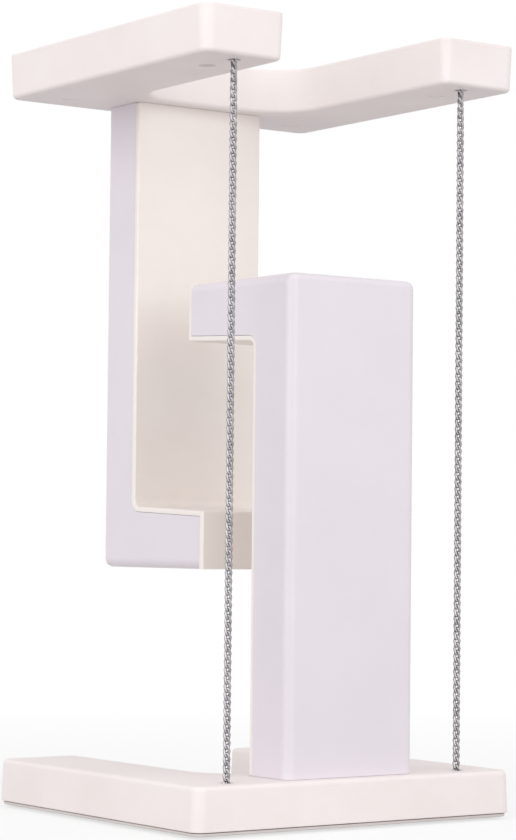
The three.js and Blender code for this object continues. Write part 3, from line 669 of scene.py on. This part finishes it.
def makeTop():
    thick = plate["thickness"]
    shell = plateShell("topShell", top["bossLow"], top["seamRound"], chainY, pinOn("left_top_pin", "top"))
    wide = top["plugRadius"] + top["plugGap"]
    rings = [(wide, top["seat"]), (wide, thick - top["rimDeep"]),
             (wide + top["rimWide"], thick + top["rimOver"])]
    wells = [turnUp("well", rings, facets["shown"], x, y) for x, y in screwSpots]
    merge(shell, chainHoles(chainY) + wells, "DIFFERENCE")
    screwHoles = postsAt(screwSpots, top["screwHole"], top["bossLow"] - past, top["seat"] + past)
    merge(shell, screwHoles, "DIFFERENCE")
    smooth(shell)
    settle(shell, "top")
    finish(shell, "plate", "floating_half", "top_shell")

    lid = plateCover("topLid", 0, plate["low"] - top["seamGap"])
    bossEnd = top["bossLow"] - top["bossGap"]
    merge(lid, postsAt(screwSpots, top["lidBoss"], plate["coverLip"], bossEnd, facets["plain"]), "UNION")
    merge(lid, postsAt(screwSpots, top["lidPilot"], plate["cover"], bossEnd + past), "DIFFERENCE")
    smooth(lid)
    settle(lid, "top")
    finish(lid, "plate", "floating_half", "top_lid")

    face = thick - top["plugSunk"]
    first = turnUp("shadedPlug", [(radius, face - drop) for radius, drop in top["plugProfile"]])
    smooth(first)
    for number, (x, y) in enumerate(screwSpots, 1):
        # Only the first plug, at the front left, takes the darker grey of painted shade for a shadowed recess;
        # the other three take the plate's finish
        look = "shadedPlug" if number == 1 else "plate"
        shadedPlug = copyOf(first, f"topScrewPlug{number}")
        settle(shadedPlug, "top", (x, y, 0))
        finish(shadedPlug, look, "floating_half", f"top_screw_plug_{number}")
    bpy.data.objects.remove(first)


makeTop()
print("top plate made")


# Lamps: an opal shade over the outer faces, closed by a panel along the inner faces and the arm's end
lamp = {"width": 47, "height": 146.7, "column": 18.7, "armRoot": 19.2, "armEnd": 17.6, "foot": -0.22,
        "shadeWall": 1.5, "side": 3.0, "front": 2.0, "sideSteps": 8, "shadeSteps": 9, "panelThick": 1.6,
        "panelRim": 0.62, "rimSteps": 5, "inner": 2.0, "panelSteps": 7, "gap": 0.05, "slope": 0.3,
        "holeInset": 4.5, "holeRimWide": 0.45, "holeRimOver": 0.6, "holeRimDeep": 0.05}


# Faces along the inside of the L look outward or down
def looksIn(face):
    return face.normal.y - face.normal.z > lamp["slope"]


def thicken(piece, wall):
    modify(piece, "SOLIDIFY", thickness=wall, offset=-1.0, use_even_offset=True)


def makeShade(name, armLength):
    half = lamp["width"] / 2
    high = lamp["height"]
    backing = lamp["panelThick"] + lamp["gap"]
    back = lamp["column"] - backing
    end = armLength - backing
    root = high - lamp["armRoot"] + backing
    piece = cube(name, (-half, 0, lamp["foot"]), (half, back, high))
    edit(piece)
    bpy.ops.mesh.select_all(action="SELECT")
    bpy.ops.mesh.bisect(plane_co=(0, 0, root), plane_no=(0, 0, 1))
    pick("FACE", lambda face: face.normal.y > facing and face.calc_center_median().z > root)
    extrude(0, end - back, 0)
    pick("VERT", lambda vert: near(vert.co.y, end) and near(vert.co.z, root))
    bpy.ops.transform.translate(value=(0, 0, lamp["armRoot"] - lamp["armEnd"]))
    pick("EDGE", lambda edge: liesAt(edge, 1, back) and liesAt(edge, 2, root))
    soften(lamp["inner"] + backing, lamp["shadeSteps"])
    mesh = bmesh.from_edit_mesh(piece.data)
    weights = mesh.edges.layers.float.new("bevel_weight_edge")
    for edge in mesh.edges:
        atFront = liesAt(edge, 1, 0)
        atTop = liesAt(edge, 2, high)
        atSide = outward(edge, 0, half) and near(edge.verts[0].co.x, edge.verts[1].co.x)
        if atSide and (atFront or atTop):
            edge[weights] = 1.0
        elif atFront and atTop:
            edge[weights] = lamp["front"] / lamp["side"]
    bmesh.update_edit_mesh(piece.data)
    bpy.ops.object.mode_set(mode="OBJECT")
    modify(piece, "BEVEL", limit_method="WEIGHT", width=lamp["side"], segments=lamp["sideSteps"])
    edit(piece)
    pick("FACE", lambda face: near(face.normal.x, 0) and looksIn(face))
    bpy.ops.mesh.delete(type="FACE")
    leave()
    thicken(piece, lamp["shadeWall"])
    return piece


def makePanel(name, armLength, pin):
    half = lamp["width"] / 2
    high = lamp["height"]
    column = lamp["column"]
    root = high - lamp["armRoot"]
    endLow = high - lamp["armEnd"]
    bpy.ops.object.select_all(action="DESELECT")
    middle = (root + lamp["foot"]) / 2
    bpy.ops.mesh.primitive_plane_add(size=1, location=(0, column, middle), rotation=(-math.pi / 2, 0, 0))
    bpy.context.active_object.scale = (lamp["width"], root - lamp["foot"], 1)
    piece = named(name)
    edit(piece)
    pick("EDGE", lambda edge: liesAt(edge, 2, root))
    extrude(0, armLength - column, endLow - root)
    extrude(0, 0, high - endLow)
    pick("EDGE", lambda edge: liesAt(edge, 1, column) and liesAt(edge, 2, root))
    soften(lamp["inner"], lamp["panelSteps"])
    bpy.ops.mesh.select_all(action="SELECT")
    bpy.ops.mesh.normals_make_consistent(inside=False)
    pick("FACE", lambda face: near(face.calc_center_median().y, column))
    mesh = bmesh.from_edit_mesh(piece.data)
    if sum(face.normal.y for face in mesh.faces if face.select) < 0:
        bpy.ops.mesh.select_all(action="SELECT")
        bpy.ops.mesh.flip_normals()
    bpy.ops.object.mode_set(mode="OBJECT")
    thicken(piece, lamp["panelThick"])
    edit(piece)

    def atRim(edge):
        if liesAt(edge, 1, armLength) and liesAt(edge, 2, endLow):
            return True
        if not outward(edge, 0, half) or len(edge.link_faces) != 2:
            return False
        shown = [looksIn(face) for face in edge.link_faces if abs(face.normal.x) < facing]
        return len(shown) == 1 and shown[0]

    pick("EDGE", atRim)
    soften(lamp["panelRim"], lamp["rimSteps"])
    leave()

    inside = lamp["shadeWall"] + fixing["flangeGap"]
    wide, rear = half - inside, column - lamp["panelThick"] / 2
    merge(piece, [cube("flange", (-wide, inside, 0), (wide, rear, fixing["flange"]))], "UNION")
    bosses = postsAt(footScrews(fixing["setback"]), fixing["boss"], fixing["flange"] / 2, fixing["bossHigh"])
    merge(piece, bosses, "UNION")
    holes = footHoles(fixing["setback"], -past, fixing["bossHigh"] + past, fixing["flange"] + past)
    merge(piece, holes, "DIFFERENCE")
    holeY = armLength - lamp["holeInset"]
    addPinRibs(piece, [(0, holeY)], endLow + lamp["panelThick"] / 2, pin)
    rings = [(plate["hole"] + lamp["holeRimWide"], endLow - lamp["holeRimOver"]),
             (plate["hole"], endLow + lamp["holeRimDeep"]), (plate["hole"], endLow + plate["holeDeep"])]
    merge(piece, [turnUp("hole", rings, facets["shown"], 0, holeY)], "DIFFERENCE")
    return piece


def makeLamp(stand, body, armLength):
    shade = makeShade(stand + "LampShade", armLength)
    smooth(shade)
    settle(shade, stand)
    finish(shade, "shade", body, f"{stand}_lamp_shade")
    panel = makePanel(stand + "LampPanel", armLength, pinOn(f"{stand}_lamp_chain_pin", stand))
    smooth(panel)
    settle(panel, stand)
    finish(panel, "panel", body, f"{stand}_lamp_panel")


for stand, body in (("lower", "base"), ("upper", "floating_half")):
    armLow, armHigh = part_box(f"{stand}_lamp_panel")
    face = stands[stand]["y"]
    makeLamp(stand, body, max(abs(armLow.y - face), abs(armHigh.y - face)) / mm)
print("lamps made")


# Chains: curb links, twisted a quarter turn each, with a ring at both ends
link = {"wire": 0.46, "bow": 0.68, "pitch": 2.32, "bowSides": 12, "wireSides": 6, "turnAt": 0.9,
        "hook": 0.12}
ring = {"radius": 1.24, "wire": 0.32, "sides": 28, "wireSides": 10, "drop": 0.1734}


def twist(piece, angle, **settings):
    modify(piece, "SIMPLE_DEFORM", deform_method="TWIST", deform_axis="Z", angle=angle, **settings)


def makeChain(name, low, high):
    wire, bow = link["wire"], link["bow"]
    ringLow = low + ring["drop"]
    ringHigh = high - ring["drop"]
    hooked = ring["radius"] - ring["wire"] - 2 * wire + link["hook"]
    first = ringLow + hooked
    last = ringHigh - hooked
    count = round((last - first - 2 * wire) / link["pitch"])
    pitch = (last - first - 4 * wire) / count
    reach = pitch / 2 + wire
    end = reach + wire
    bpy.ops.object.select_all(action="DESELECT")
    bpy.ops.mesh.primitive_torus_add(major_segments=link["bowSides"], minor_segments=link["wireSides"],
                                     major_radius=bow, minor_radius=wire, rotation=(math.pi / 2, 0, 0))
    piece = named(name)
    edit(piece)
    for side in (-1, 1):
        pick("VERT", lambda vert: vert.co.z * side > touch)
        bpy.ops.transform.translate(value=(0, 0, side * (reach - bow)))
    leave()
    only(piece)
    bpy.ops.object.shade_smooth()
    twist(piece, -math.pi / 2 * end / reach)
    piece.matrix_world = Matrix.Rotation(-math.pi / 4, 4, "Z")
    applyPlace()
    modify(piece, "ARRAY", count=count, use_relative_offset=False, use_constant_offset=True,
           constant_offset_displace=(0, 0, pitch))

    length = (count - 1) * pitch
    turned = (length + 2 * end) * link["turnAt"] - end
    only(piece)
    piece.location.z = -turned
    applyPlace()
    twist(piece, math.pi / 2, limits=(link["turnAt"], 1.0))
    piece.location.z = turned + (first + last) / 2 - length / 2
    parts = [piece]
    for height in (ringLow, ringHigh):
        bpy.ops.object.select_all(action="DESELECT")
        bpy.ops.mesh.primitive_torus_add(major_segments=ring["sides"], minor_segments=ring["wireSides"],
                                         major_radius=ring["radius"], minor_radius=ring["wire"],
                                         rotation=(0, math.pi / 2, 0), location=(0, 0, height))
        bpy.ops.object.shade_smooth()
        parts.append(named("ring"))
    only(piece)
    return gather(parts, name)


longChain = makeChain("chain", pinHeight("left_base_pin"), pinHeight("left_top_pin"))
for side, body in ((-1, "left_chain"), (1, "right_chain")):
    strand = copyOf(longChain, body.replace("_chain", "Chain"))
    settle(strand, "part", (side * chainX, -chainY, 0))
    finish(strand, "chain", body, body)
bpy.data.objects.remove(longChain)
shortChain = makeChain("middleChain", pinHeight("upper_lamp_chain_pin"), pinHeight("lower_lamp_chain_pin"))
pinLow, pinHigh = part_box("lower_lamp_chain_pin")
settle(shortChain, "part", (0, (pinLow.y + pinHigh.y) / 2 / mm, 0))
finish(shortChain, "chain", "middle_chain", "middle_chain")
print("chains made")


# Pieces whose shape is right keep it and take a finish
kept = {
    "screw": ["base_cover_screw_1", "base_cover_screw_2", "base_cover_screw_3", "base_cover_screw_4",
              "top_lid_screw_1", "top_lid_screw_2", "top_lid_screw_3", "top_lid_screw_4",
              "lower_lamp_screw_1", "lower_lamp_screw_2", "upper_lamp_screw_1", "upper_lamp_screw_2",
              "base_ballast"],
    "pin": ["left_base_pin", "right_base_pin", "left_top_pin", "right_top_pin", "lower_lamp_chain_pin",
            "upper_lamp_chain_pin"],
    "circuit": ["control_board"],
    "led": ["lower_lamp_led_board", "upper_lamp_led_board"],
    "black": ["push_switch"],
    "lead": ["lower_lamp_lead", "left_chain_lead", "right_chain_lead", "upper_lamp_lead_left",
             "upper_lamp_lead_right"],
}
for look, names in kept.items():
    for name in names:
        nodes[name].data.materials.clear()
        nodes[name].data.materials.append(looks[look])
print("kept pieces finished")


# Studio: white floor that keeps the shadow, white surround, soft lamps at the left and the front
studio = {"white": (1, 1, 1, 1), "surround": (1.0, 0.985, 0.985, 1), "surroundStrength": 0.7, "floorSize": 12,
          "floorLit": (0.62, 0.61, 0.615, 1.0), "floorSeen": (0.95, 0.95, 0.95, 1.0), "floorRough": 0.8,
          "shadowShare": 0.3, "shadowNear": 0.12, "shadowFar": 0.5, "aim": (0, 0, 0.11)}
lights = {
    "left": {"place": (-1.4, -0.35, 0.55), "size": 1.3, "power": 8.8},
    "front": {"place": (0.15, -1.25, 0.6), "size": 1.5, "power": 7.2},
}


def combine(tree, operation, first, second):
    node = addNode(tree, "ShaderNodeMath", operation=operation)
    tree.links.new(first, node.inputs[0])
    tree.links.new(second, node.inputs[1])
    return node.outputs[0]


# What the camera sees, straight or in metal and gloss, is white; what lights the object is toned down
def whiteRays(tree):
    path = addNode(tree, "ShaderNodeLightPath")
    straight = combine(tree, "MAXIMUM", path.outputs["Is Camera Ray"], path.outputs["Is Glossy Ray"])
    return combine(tree, "MAXIMUM", straight, path.outputs["Is Transmission Ray"])


def mixShaders(tree, share, first, second, output):
    mix = addNode(tree, "ShaderNodeMixShader")
    tree.links.new(share, mix.inputs[0])
    tree.links.new(first.outputs[0], mix.inputs[1])
    tree.links.new(second.outputs[0], mix.inputs[2])
    tree.links.new(mix.outputs[0], tree.nodes[output].inputs["Surface"])


def makeFloor():
    bpy.ops.object.select_all(action="DESELECT")
    bpy.ops.mesh.primitive_plane_add(size=studio["floorSize"])
    floor = named("floor")
    material, tree, shader, place = startLook("floorWhite")
    shader.inputs["Roughness"].default_value = studio["floorRough"]
    shader.inputs["Specular IOR Level"].default_value = 0.0
    white = whiteRays(tree)
    tint = blendColours(tree, white, studio["floorLit"], studio["floorSeen"])
    tree.links.new(tint, shader.inputs["Base Color"])
    glow = addNode(tree, "ShaderNodeEmission", {"Strength": 1.0, "Color": studio["white"]})
    reach = addNode(tree, "ShaderNodeVectorMath", operation="LENGTH")
    tree.links.new(place, reach.inputs[0])
    fade = between(tree, reach.outputs["Value"], 1 - studio["shadowShare"], 1.0,
                   studio["shadowNear"], studio["shadowFar"])
    mixShaders(tree, combine(tree, "MULTIPLY", white, fade), shader, glow, "Material Output")
    floor.data.materials.append(material)


def makeWorld():
    world = bpy.data.worlds.new("surround")
    bpy.context.scene.world = world
    world.use_nodes = True
    tree = world.node_tree
    ground = tree.nodes["Background"]
    ground.inputs["Color"].default_value = studio["surround"]
    ground.inputs["Strength"].default_value = studio["surroundStrength"]
    white = addNode(tree, "ShaderNodeBackground", {"Color": studio["white"], "Strength": 1.0})
    mixShaders(tree, whiteRays(tree), ground, white, "World Output")


def makeLight(name):
    setting = lights[name]
    data = bpy.data.lights.new(name, "AREA")
    data.size = setting["size"]
    data.energy = setting["power"]
    light = bpy.data.objects.new(name, data)
    bpy.context.scene.collection.objects.link(light)
    turn = (Vector(studio["aim"]) - Vector(setting["place"])).to_track_quat("-Z", "Y")
    light.matrix_world = Matrix.Translation(setting["place"]) @ turn.to_matrix().to_4x4()


makeFloor()
makeWorld()
for name in lights:
    makeLight(name)
bpy.context.scene.view_settings.view_transform = "Standard"
print("studio made")
